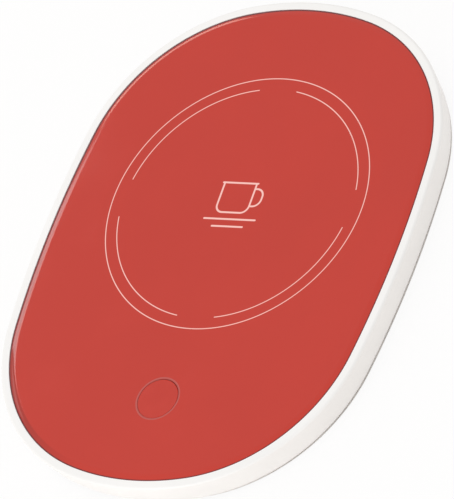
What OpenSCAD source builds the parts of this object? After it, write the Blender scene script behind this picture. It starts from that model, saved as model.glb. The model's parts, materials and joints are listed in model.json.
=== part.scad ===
/* [Outline of the glass] */
// Length of the glass along Y
glass_l = 169.2; // [164:0.2:176]
// Width of the glass along X
glass_w = 126.6; // [122:0.2:132]
// Radius of the two round ends
end_r = 84; // [80:1:88]
// Radius of the two long sides
side_r = 335; // [300:5:380]
// Radius of the four shoulders between end and side
shoulder_r = 54.6; // [52:0.2:57]

/* [Glass] */
// Thickness of the glass
glass_t = 2.5; // [2:0.1:3]
// Rounding of the glass edge
glass_round = 0.8; // [0.4:0.1:1.2]
// Gap between the glass edge and the rim
glass_gap = 0.2; // [0.1:0.05:0.3]
// Thickness of the adhesive tape under the glass
tape_t = 0.2; // [0.1:0.05:0.3]
// Width of the adhesive tape
tape_w = 6; // [4:0.5:8]

/* [Upper housing] */
// Height from the underside of the base to the top of the glass
body_h = 10.1; // [9.9:0.1:13]
// Width that the rim stands out round the glass
rim_w = 2.9; // [2.6:0.1:3.4]
// How far the side wall draws in from rim to base
taper = 1.4; // [1:0.1:2]
// Height that the rim lies below the glass
rim_drop = 0.2; // [0.1:0.05:0.4]
// Rounding of the rim's outer edge
rim_round = 0.8; // [0.5:0.1:1.1]
// Thickness of the side wall
wall_t = 1.8; // [1.5:0.1:2.1]
// Thickness of the deck under the glass
deck_t = 1.2; // [1:0.1:1.5]

/* [Base cover] */
// Thickness of the base cover
base_t = 1.6; // [1.4:0.1:1.8]
// Height of the base cover's edge that shows under the side wall
edge_h = 0.6; // [0.4:0.1:0.8]
// Distance that this edge lies back from the side wall
edge_back = 0.3; // [0.2:0.05:0.5]
// Gap between the base cover and the inside of the side wall
base_gap = 0.15; // [0.1:0.05:0.25]
// Height of the lip inside the side wall
lip_h = 2; // [1:0.1:2.4]
// Thickness of the lip
lip_t = 1.2; // [0.8:0.1:1.6]
// Height of the screw wells above the base plate
well_h = 1.6; // [1.5:0.1:1.9]

/* [Feet] */
// Diameter of a rubber foot
foot_d = 12; // [10:0.5:14]
// Height that a foot stands below the base
foot_drop = 1.4; // [1:0.1:2.5]
// Depth of the foot's recess in the base
foot_recess = 0.8; // [0.5:0.05:0.9]
// Distance of a foot's centre from the glass outline
foot_inset = 12; // [11:0.5:14]
// Direction of a foot from the shoulder's centre, in degrees from X
foot_q = 45; // [40:1:50]

/* [Button] */
// Distance of the button's centre from the front end of the glass
button_inset = 28.7; // [27:0.1:31]
// Diameter of the button
button_d = 13.2; // [12:0.1:14]
// Gap between the button and the glass
button_gap = 0.6; // [0.4:0.05:0.7]
// Distance the button moves when it is pressed
button_travel = 0.3; // [0.15:0.05:0.3]
// Height that the button lies below the glass
button_drop = 0.1; // [0.05:0.05:0.3]
// Thickness of the button's flange
flange_t = 0.8; // [0.7:0.05:0.9]

/* [Heater] */
// Distance from the button's centre to the heater's centre
heater_pitch = 70.2; // [69:0.1:72]
// Diameter of the heat plate
heater_d = 80; // [76:1:82]
// Thickness of the heat plate
plate_t = 1; // [0.8:0.1:1.1]
// Thickness of the heating element
element_t = 0.3; // [0.2:0.05:0.4]
// Thickness of the insulation pad
pad_t = 1.5; // [1.45:0.05:1.6]
// Thickness of the bracket under the heater
bracket_t = 0.8; // [0.6:0.1:1]
// Width of the bracket's arms
arm_w = 5; // [4.5:0.5:7]

/* [Boards] */
// Width of the control board
board_w = 52; // [50:1:54]
// Length of the control board
board_l = 42; // [40:0.5:43]
// Thickness of both boards
board_t = 1; // [0.8:0.1:1]
// Space between the boards and the deck
board_drop = 2.2; // [2.15:0.05:2.4]
// Width of the inlet board
inlet_board_w = 18; // [17:0.5:20]
// Length of the inlet board
inlet_board_l = 14; // [13:0.5:15]

/* [Power inlet] */
// Width of the inlet's metal shell
inlet_w = 8.94; // [8.8:0.02:9.2]
// Height of the inlet's metal shell
inlet_h = 3.2; // [3.1:0.02:3.3]
// Depth of the inlet's metal shell
inlet_l = 7.3; // [6.5:0.1:8]
// Width of the hole in the side wall
inlet_hole_w = 10.6; // [10.2:0.1:11.4]
// Height of the hole in the side wall
inlet_hole_h = 4.5; // [4.4:0.05:4.6]

/* [Leads] */
// Diameter of the power and heater leads
lead_d = 1.2; // [1:0.1:1.3]
// Diameter of the sensor leads
sensor_lead_d = 0.8; // [0.6:0.1:1]

/* [Hidden] */
fine = 96;

// Levels, measured up from the surface that the feet stand on
base_z = foot_drop;
wall_z = base_z + edge_h;
floor_z = base_z + base_t;
top_z = base_z + body_h;
glass_z = top_z - glass_t;
deck_top_z = glass_z - tape_t;
deck_z = deck_top_z - deck_t;
rim_z = top_z - rim_drop;
well_z = floor_z + well_h;
board_top_z = deck_z - board_drop;
board_z = board_top_z - board_t;
plate_z = glass_z - plate_t;
element_z = plate_z - element_t;
pad_z = element_z - pad_t;
bracket_z = pad_z - bracket_t;

// Three arcs make each quarter of the outline: side, shoulder and end. Their centres stay where they
// are when the outline grows, so every outline in the body is the glass outline with other radii.
end_c = [0, glass_l / 2 - end_r];
side_c = [glass_w / 2 - side_r, 0];
centre_gap = norm(side_c - end_c);
centre_dir = (side_c - end_c) / centre_gap;
along = ((end_r - shoulder_r) ^ 2 - (side_r - shoulder_r) ^ 2 + centre_gap ^ 2) / (2 * centre_gap);
across = sqrt((end_r - shoulder_r) ^ 2 - along ^ 2);
shoulder_c = end_c + along * centre_dir + across * [centre_dir.y, -centre_dir.x];
side_q = atan2(shoulder_c.y - side_c.y, shoulder_c.x - side_c.x);
end_q = atan2(shoulder_c.y - end_c.y, shoulder_c.x - end_c.x);
side_steps = 4;
shoulder_steps = 18;
end_steps = 4;

// Side wall
wall_foot = rim_w - taper;
wall_slope = (rim_w - wall_foot) / (rim_z - rim_round - wall_z);
function wall_out(z) = wall_foot + wall_slope * (z - wall_z);
function wall_in(z) = wall_out(z) - wall_t;
foot_round = 0.3;

// Clearances and small features
seat_gap = 0.05;
cut = 0.5;
chamfer = 0.25;
plate_clear = 1.5;
tape_inset = 1;

// Base cover, as distances from the glass outline
cover_out = wall_foot - edge_back;
cover_bevel = 0.15;
cover_edge = wall_in(wall_z) - base_gap;
lip_inside = cover_edge - lip_t;

// Button
button_y = glass_l / 2 - button_inset;
button_pos = [0, -button_y];
button_r = button_d / 2;
flange_lap = 1.2;
flange_r = button_r + button_gap + flange_lap;
collar_depth = 1;
guide_clear = 0.2;
guide_wall = 1.2;
flange_top_z = glass_z - seat_gap;
flange_z = flange_top_z - flange_t;
cap_skin = 1.2;
cap_wall = 1.4;
stem_r = 1.5;
switch_w = 5.1;
switch_base_h = 1.3;
switch_cover_t = 0.2;
switch_floor = 0.4;
dome_h = button_travel + 0.1;
dome_r = 1.9;
dome_t = 0.08;
dome_clear = 0.15;
collar_h = 0.45;
collar_r = 1.85;
plunger_r = 1.35;
plunger_clear = 0.05;
plunger_rise = button_travel + 0.2;
plunger_top_z = board_top_z + switch_base_h + switch_cover_t + plunger_rise;

// Heater
heater_y = heater_pitch - button_y;
heater_pos = [0, heater_y];
heater_r = heater_d / 2;
element_inset = 2;
pad_inset = 1;
pocket_gap = 0.3;
bracket_margin = 7;
bracket_reach = heater_r + bracket_margin;
bracket_q = [45, 135, 225, 315];
bracket_boss_r = 2.6;
bracket_eye_margin = 0.3;
bracket_eye_r = arm_w / 2 + bracket_eye_margin;
bracket_ring_r = 20;
bracket_ring_w = 4;
hub_r = 6;
sensor_hole_r = 3;
sensor_pad_gap = 0.2;
sensor_r = 0.5;
sensor_l = 3;
fuse_size = [3.2, 8];
fuse_x = bracket_ring_r;
terminal_r = 1.5;
terminal_inset = 7;
terminal_x = -6;
terminal_front = [terminal_x, heater_y - heater_r + terminal_inset];
fuse_link_l = 10;
terminal_rear = [fuse_x, heater_y + fuse_size.y / 2 + fuse_link_l];
channel_w = 2.4;
sensor_channel_w = 3;

// Screws
screw_r = 0.95;
screw_clear = 0.05;
screw_hole_r = 1.15;
screw_head_r = 1.8;
screw_head_h = 1.1;
board_screw_l = 3.3;
bracket_screw_l = 2.6;
boss_r = 2.5;
boss_skin = 0.5;
big_screw_r = 1.2;
big_screw_hole_r = 1.45;
big_head_r = 2.3;
big_head_h = 1.3;
big_screw_l = 3.9;
big_boss_r = 3;
well_r = 3.6;
well_bore_r = 2.6;
well_floor = 0.8;

// Boards
board_front = 19;
board_corner = 4;
board_min_y = -button_y - board_front;
board_max_y = board_min_y + board_l;
board_hole_inset = 4;
board_holes = [
    for (x = [-1, 1], y = [board_min_y + board_hole_inset, board_max_y - board_hole_inset])
        [x * (board_w / 2 - board_hole_inset), y]
];
controller_size = [10, 4, 1.5];
controller_pos = button_pos + [-14, -3];
transistor_size = [5, 6, 1.2];
transistor_pos = button_pos + [14, 4];
regulator_size = [6.5, 3.5, 1.6];
regulator_pos = button_pos + [14, -8];
leg_size = [0.4, 0.8];
leg_pitch = 1.27;
regulator_pitch = 2.3;
chip_lift = 0.1;
capacitor_size = [3.2, 1.6, 1.3];
capacitor_places = [[-20, 7], [-14, 7], [21, -8], [7, -12], [-6, -12]];
resistor_size = [1.6, 0.8, 0.45];
resistor_places = [[-21, 11], [-18, 11], [-12, 11], [-9, 11], [-20, -10], [-16, -10], [-12, -10]];
terminal_size = [0.9, 0.6, 0.2];
terminal_pitch = 3.2;

// Power inlet: its shell sits in a notch of the inlet board and nearly touches the wall
inlet_sink = 0.1;
inlet_z = board_top_z - inlet_sink;
inlet_wall_gap = 0.1;
inlet_face_y = glass_l / 2 + wall_in(board_z) - inlet_wall_gap;
inlet_overhang = 0.8;
inlet_board_max_y = inlet_face_y - inlet_overhang;
inlet_board_min_y = inlet_board_max_y - inlet_board_l;
inlet_board_corner = 1;
inlet_notch_clear = 0.3;
inlet_notch_l = inlet_l - inlet_overhang + inlet_notch_clear;
inlet_hole_inset = 3;
inlet_hole_x = inlet_board_w / 2 - inlet_hole_inset;
inlet_holes = [for (x = [-1, 1]) [x * inlet_hole_x, inlet_board_min_y + inlet_hole_inset]];
lip_notch_gap = 1;
lip_notch_l = 6;
shell_t = 0.3;
shell_tab = [1.2, 1.6, 0.3];
shell_tab_lap = 0.1;
shell_tab_places = [1.5, 4.5];
tongue_w = 6.7;
tongue_t = 0.7;
tongue_l = 4.5;
tongue_recess = 1;
contact_end_gap = 0.6;
contact_count = 12;
contact_pitch = 0.5;
contact_w = 0.26;
contact_t = 0.05;

// Leads
lead_r = lead_d / 2;
sensor_lead_r = sensor_lead_d / 2;
lead_gap = 0.15;
lead_pitch = lead_d + lead_gap;
lead_floor_z = floor_z + lead_r + seat_gap;
lead_board_z = board_top_z + lead_r + seat_gap;
lead_pad_z = pad_z + lead_r + seat_gap;
lead_sides = 8;
sensor_lead_gap = 0.2;
guide_size = [1, 3, 1.4];
guide_gap = 0.1;
guide_lip_gap = 0.6;
// The power leads follow the lip; both lists are directions of the outline, the guides' from the leads'
lead_inset = -lip_inside + guide_lip_gap + guide_size.x + guide_gap + lead_pitch;
wall_q = [70, 57, 45, 32, 19, 5, 0, -5];
guide_q = [57, 32, 5, 0];
// Where leads come onto a board: how far they lie on it and reach past its edge, and how long they fall
landing = 4;
edge_reach = 0.8;
fall = 4.5;
inlet_lead_gap = 0.6;
inlet_lead_y = 8.5;
boss_gap = 1;
fuse_lead_shift = 5.5;

// Colours
red = [0.78, 0.27, 0.24];
shell_white = [0.96, 0.95, 0.93];
board_green = [0.1, 0.36, 0.22];
steel = [0.75, 0.76, 0.78];
gold = [0.85, 0.68, 0.35];
ink = [0.12, 0.12, 0.13];

// ---- Outline ----
// Directions, in degrees from X, at which a quarter of the outline has its points
quarter_q = [
    for (i = [0 : side_steps - 1]) side_q * i / side_steps,
    for (i = [0 : shoulder_steps - 1]) side_q + (end_q - side_q) * i / shoulder_steps,
    for (i = [0 : end_steps]) end_q + (90 - end_q) * i / end_steps
];
half_q = concat(quarter_q, [for (i = [len(quarter_q) - 2 : -1 : 1]) 180 - quarter_q[i]]);
outline_q = concat(half_q, [for (q = half_q) q + 180]);

// The outline's point whose normal points along q, in the first quarter
function quarter_point(q, grow) =
    let (
        c = q < side_q ? side_c : q < end_q ? shoulder_c : end_c,
        r = q < side_q ? side_r : q < end_q ? shoulder_r : end_r
    )
    c + (r + grow) * [cos(q), sin(q)];

// The same all round: the other quarters mirror the first
function rim_point(q, grow) =
    let (
        turn = (q + 360) % 360,
        x = turn > 90 && turn < 270 ? -1 : 1,
        y = turn > 180 ? -1 : 1,
        fold = turn <= 90 ? turn : turn <= 180 ? 180 - turn : turn <= 270 ? turn - 180 : 360 - turn,
        p = quarter_point(fold, grow)
    )
    [x * p.x, y * p.y];

function outline(grow) = [for (q = outline_q) rim_point(q, grow)];

// Rounded edge in section: [grow, z] pairs on an arc about [grow, z] from one direction to another
function edge_arc(grow, z, r, from, to, steps) =
    [for (i = [0 : steps]) let (q = from + (to - from) * i / steps) [grow + r * cos(q), z + r * sin(q)]];

// A solid through a list of [grow, z] levels, lowest first
module loft(levels) {
    n = len(outline_q);
    last = (len(levels) - 1) * n;
    points = [for (level = levels, p = outline(level[0])) [p.x, p.y, level[1]]];
    sides = [
        for (k = [0 : len(levels) - 2], i = [0 : n - 1])
            let (j = (i + 1) % n)
            [k * n + i, (k + 1) * n + i, (k + 1) * n + j, k * n + j]
    ];
    bottom = [for (i = [0 : n - 1]) i];
    top = [for (i = [n - 1 : -1 : 0]) last + i];
    polyhedron(points, concat([bottom, top], sides), convexity = 4);
}

module slab(grow, low, high) {
    translate([0, 0, low]) linear_extrude(high - low) polygon(outline(grow));
}

module post(pos, r, low, high) {
    translate([pos.x, pos.y, low]) cylinder(h = high - low, r = r, $fn = fine);
}

module block(low, high) {
    translate(low) cube(high - low);
}

// A slot with round ends, upright in XZ, from one y to another
module upright_slot(w, h, y_low, y_high) {
    translate([0, y_high, 0]) rotate([90, 0, 0]) linear_extrude(y_high - y_low) {
        square([w - h, h], center = true);
        for (x = [-1, 1]) translate([x * (w - h) / 2, 0]) circle(d = h, $fn = fine);
    }
}

module rounded_plate(low, high, r, z_low, z_high) {
    translate([0, 0, z_low]) linear_extrude(z_high - z_low) {
        translate([low.x + r, low.y]) square([high.x - low.x - 2 * r, high.y - low.y]);
        translate([low.x, low.y + r]) square([high.x - low.x, high.y - low.y - 2 * r]);
        for (x = [low.x + r, high.x - r], y = [low.y + r, high.y - r])
            translate([x, y]) circle(r = r, $fn = fine);
    }
}

// ---- Places ----
function foot_pos(x, y) = let (p = rim_point(foot_q, -foot_inset)) [x * p.x, y * p.y];
feet = [for (x = [-1, 1], y = [-1, 1]) foot_pos(x, y)];
bracket_bosses = [for (q = bracket_q) heater_pos + bracket_reach * [cos(q), sin(q)]];

// ---- Upper housing ----
module upper_housing() {
    color(shell_white) difference() {
        union() {
            housing_shell();
            for (p = feet) post(p, big_boss_r, well_z, deck_z + cut);
            for (p = concat(board_holes, inlet_holes)) post(p, boss_r, board_top_z, deck_z + cut);
            for (p = bracket_bosses) post(p, bracket_boss_r, pad_z, deck_z + cut);
            post(button_pos, flange_r + guide_clear + guide_wall, flange_z - collar_depth, deck_z + cut);
        }
        post(heater_pos, heater_r + plate_clear, deck_z - cut, deck_top_z + cut);
        post(button_pos, flange_r + guide_clear, flange_z - collar_depth - cut, deck_top_z + cut);
        for (p = feet) post(p, big_screw_r + screw_clear, well_z - cut, deck_top_z - boss_skin);
        for (p = concat(board_holes, inlet_holes))
            post(p, screw_r + screw_clear, board_top_z - cut, deck_top_z - boss_skin);
        for (p = bracket_bosses) post(p, screw_r + screw_clear, pad_z - cut, deck_top_z - boss_skin);
        translate([0, 0, inlet_z])
            upright_slot(inlet_hole_w, inlet_hole_h, inlet_face_y - 1, glass_l / 2 + rim_w + cut);
    }
}

module housing_shell() {
    difference() {
        loft(concat(
            edge_arc(wall_foot - foot_round, wall_z + foot_round, foot_round, -90, 0, 2),
            edge_arc(rim_w - rim_round, rim_z - rim_round, rim_round, 0, 90, 4)
        ));
        loft([[wall_in(wall_z - cut), wall_z - cut], [wall_in(deck_z), deck_z]]);
        slab(glass_gap, deck_top_z, rim_z + cut);
    }
}

// ---- Base cover ----
module base_cover() {
    color(shell_white) difference() {
        union() {
            loft([[cover_out - cover_bevel, base_z], [cover_out, base_z + cover_bevel], [cover_out, wall_z]]);
            slab(cover_edge, wall_z - cut, floor_z);
            difference() {
                slab(cover_edge, floor_z - cut, floor_z + lip_h);
                slab(lip_inside, floor_z - cut, floor_z + lip_h + cut);
                inlet_clearance();
            }
            for (p = feet) post(p, well_r, floor_z - cut, well_z);
            base_ribs();
            lead_guides();
        }
        for (p = feet) {
            post(p, foot_d / 2 + base_gap, base_z - cut, base_z + foot_recess);
            post(p, well_bore_r, base_z, well_z - well_floor);
            post(p, big_screw_hole_r, base_z, well_z + cut);
        }
    }
}

module inlet_clearance() {
    x = inlet_board_w / 2 + lip_notch_gap;
    block([-x, inlet_face_y - lip_notch_l, floor_z], [x, glass_l, floor_z + lip_h + 2 * cut]);
}

module base_ribs() {
    rib_h = 0.8;
    rib_w = 1;
    pitch = 14;
    margin = 6;
    count = floor((heater_r - margin) / pitch);
    intersection() {
        post(heater_pos, heater_r - margin, floor_z - cut, floor_z + rib_h);
        union() for (i = [-count : count]) {
            block([i * pitch - rib_w / 2, heater_y - heater_r, floor_z - cut],
                [i * pitch + rib_w / 2, heater_y + heater_r, floor_z + rib_h]);
            block([-heater_r, heater_y + i * pitch - rib_w / 2, floor_z - cut],
                [heater_r, heater_y + i * pitch + rib_w / 2, floor_z + rib_h]);
        }
    }
}

// Pairs of fingers that keep the power leads beside the wall
module lead_guides() {
    for (q = guide_q, side = [-1, 1]) {
        p = rim_point(q, -lead_inset + side * (lead_pitch + guide_gap + guide_size.x / 2));
        translate([p.x, p.y, floor_z - cut]) rotate(q) translate([-guide_size.x / 2, -guide_size.y / 2, 0])
            cube(guide_size + [0, 0, cut]);
    }
}

// ---- Glass ----
module glass_panel() {
    color(red) difference() {
        loft(concat(
            [[-chamfer, glass_z], [0, glass_z + chamfer]],
            edge_arc(-glass_round, top_z - glass_round, glass_round, 0, 90, 5)
        ));
        post(button_pos, button_r + button_gap, glass_z - cut, top_z + cut);
        translate([button_pos.x, button_pos.y, top_z - chamfer])
            cylinder(h = 2 * chamfer, r1 = button_r + button_gap, r2 = button_r + button_gap + 2 * chamfer,
                $fn = fine);
    }
}

module glass_tape() {
    color("lightgray") difference() {
        slab(-tape_inset, deck_top_z, glass_z);
        slab(-tape_inset - tape_w, deck_top_z - cut, glass_z + cut);
    }
}

// ---- Heater ----
module heat_plate() {
    color("silver") post(heater_pos, heater_r, plate_z, glass_z);
}

module heating_element() {
    color("peru") post(heater_pos, heater_r - element_inset, element_z, plate_z);
}

module insulation_pad() {
    low = pad_z - cut;
    high = element_z + cut;
    color("gainsboro") difference() {
        post(heater_pos, heater_r - pad_inset, pad_z, element_z);
        post(heater_pos, sensor_hole_r, low, high);
        block([-sensor_channel_w / 2, heater_y - heater_r, low], [sensor_channel_w / 2, heater_y, high]);
        for (p = [terminal_front, terminal_rear]) post(p, terminal_r + pocket_gap, low, high);
        block([terminal_front.x - channel_w / 2, heater_y - heater_r, low],
            [terminal_front.x + channel_w / 2, terminal_front.y, high]);
        block([fuse_x - channel_w / 2, heater_y - heater_r, low],
            [fuse_x + channel_w / 2, terminal_rear.y, high]);
        block([fuse_x - fuse_size.x / 2 - pocket_gap, heater_y - fuse_size.y / 2 - pocket_gap, low],
            [fuse_x + fuse_size.x / 2 + pocket_gap, heater_y + fuse_size.y / 2 + pocket_gap, high]);
    }
}

module heater_bracket() {
    color(steel) difference() {
        union() {
            post(heater_pos, hub_r, bracket_z, pad_z);
            difference() {
                post(heater_pos, bracket_ring_r + bracket_ring_w / 2, bracket_z, pad_z);
                post(heater_pos, bracket_ring_r - bracket_ring_w / 2, bracket_z - cut, pad_z + cut);
            }
            for (q = bracket_q) translate([heater_pos.x, heater_pos.y, bracket_z]) rotate(q)
                translate([0, -arm_w / 2, 0]) cube([bracket_reach, arm_w, bracket_t]);
            for (p = bracket_bosses) post(p, bracket_eye_r, bracket_z, pad_z);
        }
        for (p = bracket_bosses) post(p, screw_hole_r, bracket_z - cut, pad_z + cut);
    }
}

module temperature_sensor() {
    color(ink) translate([heater_pos.x, heater_pos.y, element_z - sensor_r]) {
        translate([0, sensor_l / 2, 0]) rotate([90, 0, 0]) cylinder(h = sensor_l, r = sensor_r, $fn = fine);
        translate([0, sensor_l / 2, 0]) sphere(r = sensor_r, $fn = fine);
    }
}

module sensor_pad() {
    color("tomato") post(heater_pos, sensor_hole_r - sensor_pad_gap, pad_z, element_z - 2 * sensor_r);
}

module thermal_fuse() {
    half = fuse_size / 2;
    corner = 0.8;
    color("white") rounded_plate([fuse_x - half.x, heater_y - half.y], [fuse_x + half.x, heater_y + half.y],
        corner, pad_z, element_z);
}

// ---- Screws ----
// A pan-head screw that stands upright, its head's seat at height z
module screw(pos, z, r, l, head_r, head_h) {
    socket_r = head_r * 0.45;
    difference() {
        union() {
            post(pos, r, z, z + l);
            translate([pos.x, pos.y, z]) rotate([180, 0, 0]) rotate_extrude($fn = fine)
                pan_section(head_r, head_h);
        }
        post(pos, socket_r, z - head_h - cut, z - head_h / 2);
    }
}

module pan_section(r, h) {
    intersection() {
        square([r, h]);
        union() {
            square([r, h / 2]);
            square([r - h / 2, h]);
            translate([r - h / 2, h / 2]) circle(r = h / 2, $fn = fine);
        }
    }
}

module bracket_screws() {
    color(steel) for (p = bracket_bosses)
        screw(p, bracket_z, screw_r, bracket_screw_l, screw_head_r, screw_head_h);
}

module board_screws() {
    color(steel) for (p = concat(board_holes, inlet_holes))
        screw(p, board_z, screw_r, board_screw_l, screw_head_r, screw_head_h);
}

module housing_screws() {
    color(steel) for (p = feet)
        screw(p, well_z - well_floor, big_screw_r, big_screw_l, big_head_r, big_head_h);
}

// ---- Boards and their parts ----
module control_board() {
    color(board_green) difference() {
        rounded_plate([-board_w / 2, board_min_y], [board_w / 2, board_max_y], board_corner,
            board_z, board_top_z);
        for (p = board_holes) post(p, screw_hole_r, board_z - cut, board_top_z + cut);
    }
}

// A moulded chip with a row of legs along each long side
module chip(pos, size, legs, pitch) {
    translate([pos.x, pos.y, board_top_z]) {
        translate([-size.x / 2, -size.y / 2, chip_lift]) cube(size - [0, 0, chip_lift]);
        for (i = [0 : legs - 1], side = [-1, 1])
            translate([
                (i - (legs - 1) / 2) * pitch - leg_size.x / 2,
                side * (size.y + leg_size.y) / 2 - leg_size.y / 2,
                0
            ]) cube([leg_size.x, leg_size.y, size.z / 2]);
    }
}

module controller_chip() {
    color(ink) chip(controller_pos, controller_size, 8, leg_pitch);
}

module power_transistor() {
    color(ink) chip(transistor_pos, transistor_size, 4, leg_pitch);
}

module voltage_regulator() {
    color(ink) chip(regulator_pos, regulator_size, 3, regulator_pitch);
}

// Small two-ended parts that lie flat on the board, at places counted from the switch
module flat_parts(places, size) {
    for (p = places)
        translate([button_pos.x + p.x - size.x / 2, button_pos.y + p.y - size.y / 2, board_top_z]) cube(size);
}

module chip_capacitors() {
    color("tan") flat_parts(capacitor_places, capacitor_size);
}

module chip_resistors() {
    color(ink) flat_parts(resistor_places, resistor_size);
}

// ---- Button and its switch ----
module switch_body() {
    side = switch_w / 2;
    low = board_top_z;
    color(ink) difference() {
        block([-side, -button_y - side, low], [side, -button_y + side, low + switch_base_h]);
        post(button_pos, dome_r + dome_clear, low + switch_floor, low + switch_base_h + cut);
    }
}

module switch_cover() {
    side = switch_w / 2;
    low = board_top_z + switch_base_h;
    color(steel) difference() {
        block([-side, -button_y - side, low], [side, -button_y + side, low + switch_cover_t]);
        post(button_pos, plunger_r + plunger_clear, low - cut, low + switch_cover_t + cut);
    }
}

module switch_dome() {
    span_r = (dome_r ^ 2 + dome_h ^ 2) / (2 * dome_h);
    color(gold) translate([button_pos.x, button_pos.y, board_top_z + switch_floor]) rotate_extrude($fn = fine)
        intersection() {
            square([dome_r, dome_h]);
            translate([0, dome_h - span_r]) difference() {
                circle(r = span_r, $fn = 4 * fine);
                circle(r = span_r - dome_t, $fn = 4 * fine);
            }
        }
}

module switch_plunger() {
    low = board_top_z + switch_floor + dome_h;
    color("dimgray") {
        post(button_pos, collar_r, low, low + collar_h);
        post(button_pos, plunger_r, low, plunger_top_z);
    }
}

module switch_terminals() {
    leg = terminal_size;
    color(steel) for (x = [-1, 1], y = [-1, 1])
        translate([
            x * (switch_w + leg.x) / 2 - leg.x / 2,
            button_pos.y + y * terminal_pitch / 2 - leg.y / 2,
            board_top_z
        ]) cube(leg);
}

module button_cap() {
    cap_z = top_z - button_drop;
    color(red) {
        difference() {
            union() {
                post(button_pos, flange_r, flange_z, flange_top_z);
                translate([button_pos.x, button_pos.y, flange_z]) rotate_extrude($fn = fine)
                    cap_section(button_r, cap_z - flange_z);
            }
            post(button_pos, button_r - cap_wall, flange_z - cut, cap_z - cap_skin);
        }
        post(button_pos, stem_r, plunger_top_z + seat_gap, cap_z - cap_skin + cut);
    }
}

module cap_section(r, h) {
    square([r, h - chamfer]);
    square([r - chamfer, h]);
    translate([r - chamfer, h - chamfer]) circle(r = chamfer, $fn = fine);
}

// ---- Power inlet ----
module inlet_board() {
    half_w = inlet_w / 2 + inlet_notch_clear;
    color(board_green) difference() {
        rounded_plate([-inlet_board_w / 2, inlet_board_min_y], [inlet_board_w / 2, inlet_board_max_y],
            inlet_board_corner, board_z, board_top_z);
        block([-half_w, inlet_board_max_y - inlet_notch_l, board_z - cut],
            [half_w, inlet_board_max_y + cut, board_top_z + cut]);
        for (p = inlet_holes) post(p, screw_hole_r, board_z - cut, board_top_z + cut);
    }
}

module inlet_shell() {
    tab = shell_tab;
    back_y = inlet_face_y - inlet_l;
    color(steel) {
        translate([0, 0, inlet_z]) difference() {
            upright_slot(inlet_w, inlet_h, back_y, inlet_face_y);
            upright_slot(inlet_w - 2 * shell_t, inlet_h - 2 * shell_t, back_y - cut, inlet_face_y + cut);
        }
        for (x = [-1, 1], y = shell_tab_places)
            translate([
                x * (inlet_w / 2 + tab.x / 2 - shell_tab_lap) - tab.x / 2,
                back_y + y - tab.y / 2,
                board_top_z
            ]) cube(tab);
    }
}

module inlet_insulator() {
    back_y = inlet_face_y - inlet_l;
    block_l = inlet_l - tongue_l - tongue_recess;
    color(ink) {
        translate([0, 0, inlet_z])
            upright_slot(inlet_w - 2 * shell_t, inlet_h - 2 * shell_t, back_y, back_y + block_l);
        block([-tongue_w / 2, back_y + block_l - cut, inlet_z - tongue_t / 2],
            [tongue_w / 2, back_y + block_l + tongue_l, inlet_z + tongue_t / 2]);
    }
}

module inlet_contacts() {
    start_y = inlet_face_y - tongue_l - tongue_recess;
    color(gold) for (i = [0 : contact_count - 1], side = [-1, 1])
        translate([
            (i - (contact_count - 1) / 2) * contact_pitch - contact_w / 2,
            start_y,
            inlet_z + side * (tongue_t / 2 + contact_t / 2) - contact_t / 2
        ]) cube([contact_w, tongue_l - contact_end_gap, contact_t]);
}

// ---- Feet ----
module foot(pos) {
    r = foot_d / 2;
    h = foot_drop + foot_recess;
    round_r = 0.6;
    color("dimgray") translate([pos.x, pos.y, 0]) rotate_extrude($fn = fine) {
        translate([0, round_r]) square([r, h - round_r]);
        square([r - round_r, h]);
        translate([r - round_r, round_r]) circle(r = round_r, $fn = fine);
    }
}

module foot_front_left() {
    foot(foot_pos(-1, -1));
}

module foot_front_right() {
    foot(foot_pos(1, -1));
}

module foot_rear_left() {
    foot(foot_pos(-1, 1));
}

module foot_rear_right() {
    foot(foot_pos(1, 1));
}

// ---- Leads ----
// Points on a smooth curve through a list of points, whose height never passes that of its neighbours
function smooth(p, steps) = [
    for (i = [0 : len(p) - 2], k = [0 : steps - 1])
        let (
            t = k / steps,
            before = p[max(i - 1, 0)],
            after = p[min(i + 2, len(p) - 1)],
            curve = 2 * p[i] + (p[i + 1] - before) * t
                + (2 * before - 5 * p[i] + 4 * p[i + 1] - after) * t ^ 2
                + (3 * p[i] - before - 3 * p[i + 1] + after) * t ^ 3,
            rise = t ^ 2 * (3 - 2 * t)
        )
        [curve.x / 2, curve.y / 2, p[i].z + (p[i + 1].z - p[i].z) * rise],
    p[len(p) - 1]
];

// A round tube along a list of points that never run straight up
module tube(path, r) {
    last = len(path) - 1;
    rings = [
        for (i = [0 : last])
            let (
                step = path[min(i + 1, last)] - path[max(i - 1, 0)],
                ahead = step / norm(step),
                flat = cross(ahead, [0, 0, 1]),
                side = flat / norm(flat),
                up = cross(side, ahead)
            )
            [
                for (k = [0 : lead_sides - 1])
                    let (q = 360 * k / lead_sides)
                    path[i] + r * (cos(q) * side + sin(q) * up)
            ]
    ];
    n = lead_sides;
    walls = [
        for (i = [0 : last - 1], k = [0 : n - 1])
            let (j = (k + 1) % n)
            [i * n + k, i * n + j, (i + 1) * n + j, (i + 1) * n + k]
    ];
    start = [for (k = [n - 1 : -1 : 0]) k];
    end = [for (k = [0 : n - 1]) last * n + k];
    polyhedron([for (ring = rings) each ring], concat([start, end], walls), convexity = 6);
}

function at_height(p, z) = [p.x, p.y, z];

// The same path moved sideways in plan, so that leads run next to each other
function beside(path, d) = [
    for (i = [0 : len(path) - 1])
        let (
            step = path[min(i + 1, len(path) - 1)] - path[max(i - 1, 0)],
            aside = [-step.y, step.x] / norm([step.x, step.y])
        )
        [path[i].x + d * aside.x, path[i].y + d * aside.y, path[i].z]
];

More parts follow.
